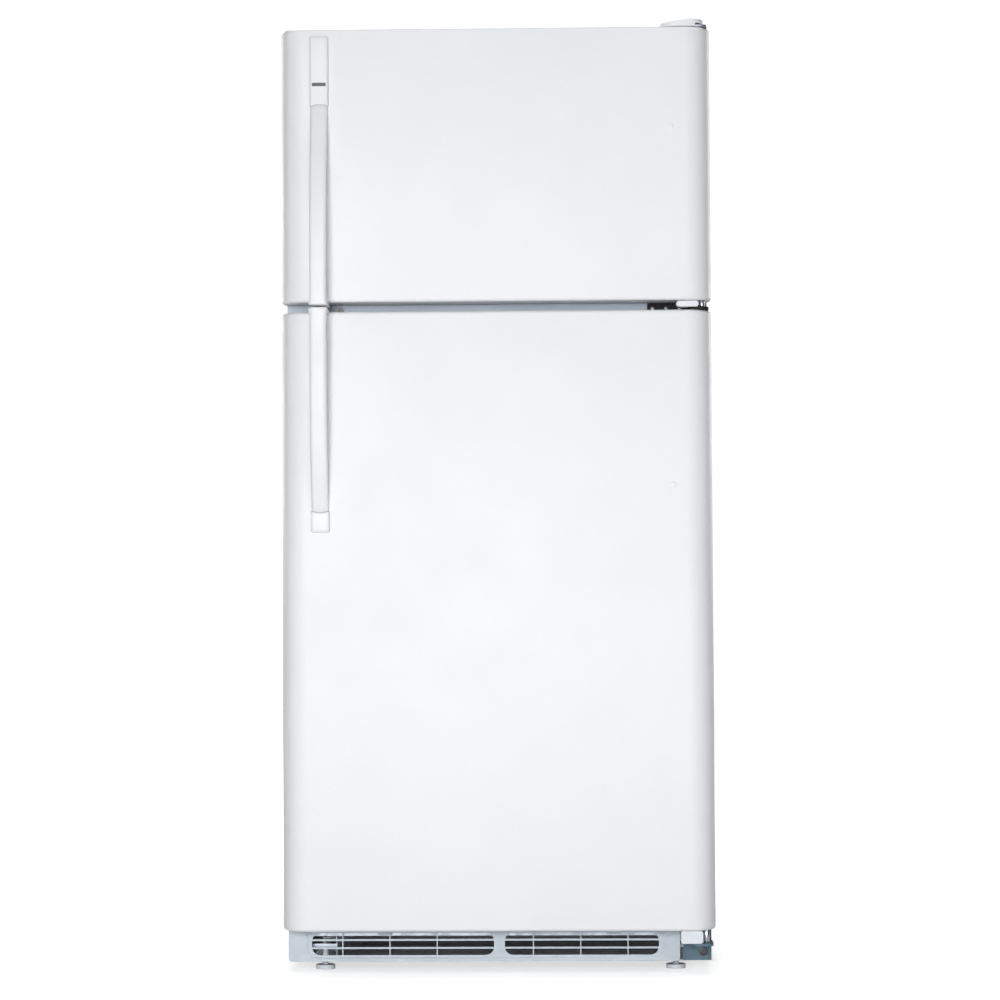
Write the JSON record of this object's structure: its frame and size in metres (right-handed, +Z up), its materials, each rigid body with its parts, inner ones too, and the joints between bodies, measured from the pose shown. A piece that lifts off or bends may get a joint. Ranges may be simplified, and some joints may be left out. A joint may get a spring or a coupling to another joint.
{
  "type": "top freezer refrigerator",
  "caption": "Upright domestic refrigerator with a freezer compartment on top, two hinged doors with bowed handles, shelves, bins and drawers inside and a grille at the foot.",
  "frame": {"origin": "centre of the whole object's box, on the floor under it", "axes": "+X to the right as seen from the front, +Y from the doors to the back, +Z up"},
  "size_m": [0.755, 0.772, 1.666],
  "materials": {
    "door_enamel": "textured white enamel, semi-gloss",
    "cabinet_enamel": "white enamel, semi-gloss",
    "galvanised_steel": "zinc plated, satin",
    "mullion_paint": "grey-white paint, satin",
    "foam": "rigid insulation foam",
    "liner_plastic": "vacuum-formed white plastic, satin",
    "white_plastic": "moulded white plastic, satin",
    "handle_plastic": "moulded white plastic, semi-gloss",
    "bin_plastic": "moulded white plastic",
    "clear_plastic": "clear moulded plastic",
    "lamp_plastic": "frosted diffuser",
    "gasket_vinyl": "soft white vinyl",
    "black_steel": "black paint, satin",
    "nylon": "natural nylon",
    "grey_plastic": "moulded grey plastic",
    "motor_steel": "pressed steel, dull",
    "black_plastic": "moulded black plastic",
    "fibreboard": "pressed fibreboard",
    "fin_aluminium": "mill finish",
    "white_wire": "white coated wire",
    "shelf_glass": "clear tempered glass"
  },
  "bodies": {
    "cabinet": {"cabinet_shell": "cabinet_enamel", "back_panel": "galvanised_steel", "base_deck": "galvanised_steel", "foam_insulation": "foam", "freezer_liner": "liner_plastic", "fridge_liner": "liner_plastic", "mullion_rail": "mullion_paint", "kick_plate": "cabinet_enamel", "top_hinge": "galvanised_steel", "top_hinge_cover": "white_plastic", "center_hinge": "black_steel", "bottom_hinge": "galvanised_steel", "hinge_closers": "nylon", "hole_plugs": "grey_plastic", "compressor_pan": "galvanised_steel", "compressor": "black_steel", "condenser_coil": "black_steel", "condenser_fan_motor": "motor_steel", "drain_pan": "black_plastic", "rear_access_cover": "fibreboard", "evaporator_coil": "fin_aluminium", "evaporator_fan_motor": "motor_steel", "evaporator_cover": "liner_plastic", "control_housing": "liner_plastic", "lamp_shield": "lamp_plastic", "freezer_shelf": "white_wire", "shelf_frames": "liner_plastic", "shelf_glass": "shelf_glass", "crisper_cover": "liner_plastic", "wall_spacers": "grey_plastic", "roller_rails": "galvanised_steel"},
    "freezer_door": {"freezer_door_skin": "door_enamel", "freezer_door_foam": "foam", "freezer_door_liner": "liner_plastic", "freezer_door_gasket": "gasket_vinyl", "freezer_door_caps": "white_plastic", "freezer_handle": "handle_plastic", "freezer_door_bins": "bin_plastic"},
    "fridge_door": {"fridge_door_skin": "door_enamel", "fridge_door_foam": "foam", "fridge_door_liner": "liner_plastic", "fridge_door_gasket": "gasket_vinyl", "fridge_door_caps": "white_plastic", "fridge_handle": "handle_plastic", "fridge_door_bins": "bin_plastic", "dairy_box": "liner_plastic"},
    "dairy_flap": {"dairy_flap": "clear_plastic"},
    "crisper_left": {"crisper_left": "clear_plastic"},
    "crisper_right": {"crisper_right": "clear_plastic"},
    "humidity_slider_left": {"humidity_slider_left": "grey_plastic"},
    "humidity_slider_right": {"humidity_slider_right": "grey_plastic"},
    "fridge_knob": {"fridge_knob": "white_plastic"},
    "freezer_knob": {"freezer_knob": "white_plastic"},
    "switch_plunger": {"switch_plunger": "white_plastic"},
    "evaporator_fan_blade": {"evaporator_fan_blade": "black_plastic"},
    "condenser_fan_blade": {"condenser_fan_blade": "black_plastic"},
    "rear_roller_left": {"rear_roller_left": "black_plastic"},
    "rear_roller_right": {"rear_roller_right": "black_plastic"},
    "front_leg_left": {"front_leg_left": "nylon"},
    "front_leg_right": {"front_leg_right": "nylon"}
  },
  "joints": [
    {"name": "freezer_door_hinge", "type": "hinge", "parent": "cabinet", "child": "freezer_door", "pos_m": [0.3605, -0.314, 1.4125], "axis": [0, 0, 1], "range_deg": [0, 130]},
    {"name": "fridge_door_hinge", "type": "hinge", "parent": "cabinet", "child": "fridge_door", "pos_m": [0.3605, -0.314, 0.6165], "axis": [0, 0, 1], "range_deg": [0, 130]},
    {"name": "dairy_flap_hinge", "type": "hinge", "parent": "fridge_door", "child": "dairy_flap", "pos_m": [-0.14575, -0.19, 1.091], "axis": [1, 0, 0], "range_deg": [0, 90]},
    {"name": "crisper_left_slide", "type": "slide", "parent": "cabinet", "child": "crisper_left", "axis": [0, -1, 0], "range_m": [0, 0.1]},
    {"name": "crisper_right_slide", "type": "slide", "parent": "cabinet", "child": "crisper_right", "axis": [0, -1, 0], "range_m": [0, 0.1]},
    {"name": "humidity_left_slide", "type": "slide", "parent": "cabinet", "child": "humidity_slider_left", "axis": [1, 0, 0], "range_m": [-0.03, 0.03]},
    {"name": "humidity_right_slide", "type": "slide", "parent": "cabinet", "child": "humidity_slider_right", "axis": [1, 0, 0], "range_m": [-0.03, 0.03]},
    {"name": "fridge_knob_turn", "type": "hinge", "parent": "cabinet", "child": "fridge_knob", "pos_m": [-0.08, -0.062, 1.098], "axis": [0, 1, 0], "range_deg": [-135, 135]},
    {"name": "freezer_knob_turn", "type": "hinge", "parent": "cabinet", "child": "freezer_knob", "pos_m": [0.08, -0.062, 1.098], "axis": [0, 1, 0], "range_deg": [-135, 135]},
    {"name": "switch_plunger_slide", "type": "slide", "parent": "cabinet", "child": "switch_plunger", "axis": [0, -1, 0], "range_m": [0, 0.01]},
    {"name": "evaporator_fan_spin", "type": "hinge", "parent": "cabinet", "child": "evaporator_fan_blade", "pos_m": [0, 0.282, 1.528], "axis": [0, 1, 0], "continuous": true},
    {"name": "condenser_fan_spin", "type": "hinge", "parent": "cabinet", "child": "condenser_fan_blade", "pos_m": [-0.079, 0.263, 0.15], "axis": [1, 0, 0], "continuous": true},
    {"name": "rear_roller_left_spin", "type": "hinge", "parent": "cabinet", "child": "rear_roller_left", "pos_m": [-0.31, 0.335, 0.02], "axis": [1, 0, 0], "continuous": true},
    {"name": "rear_roller_right_spin", "type": "hinge", "parent": "cabinet", "child": "rear_roller_right", "pos_m": [0.31, 0.335, 0.02], "axis": [1, 0, 0], "continuous": true},
    {"name": "front_leg_left_slide", "type": "slide", "parent": "cabinet", "child": "front_leg_left", "axis": [0, 0, -1], "range_m": [0, 0.015]},
    {"name": "front_leg_right_slide", "type": "slide", "parent": "cabinet", "child": "front_leg_right", "axis": [0, 0, -1], "range_m": [0, 0.015]}
  ],
  "couplings": [
    {"joint": "switch_plunger_slide", "follows": "fridge_door_hinge", "m_per_rad": 0.0044}
  ]
}
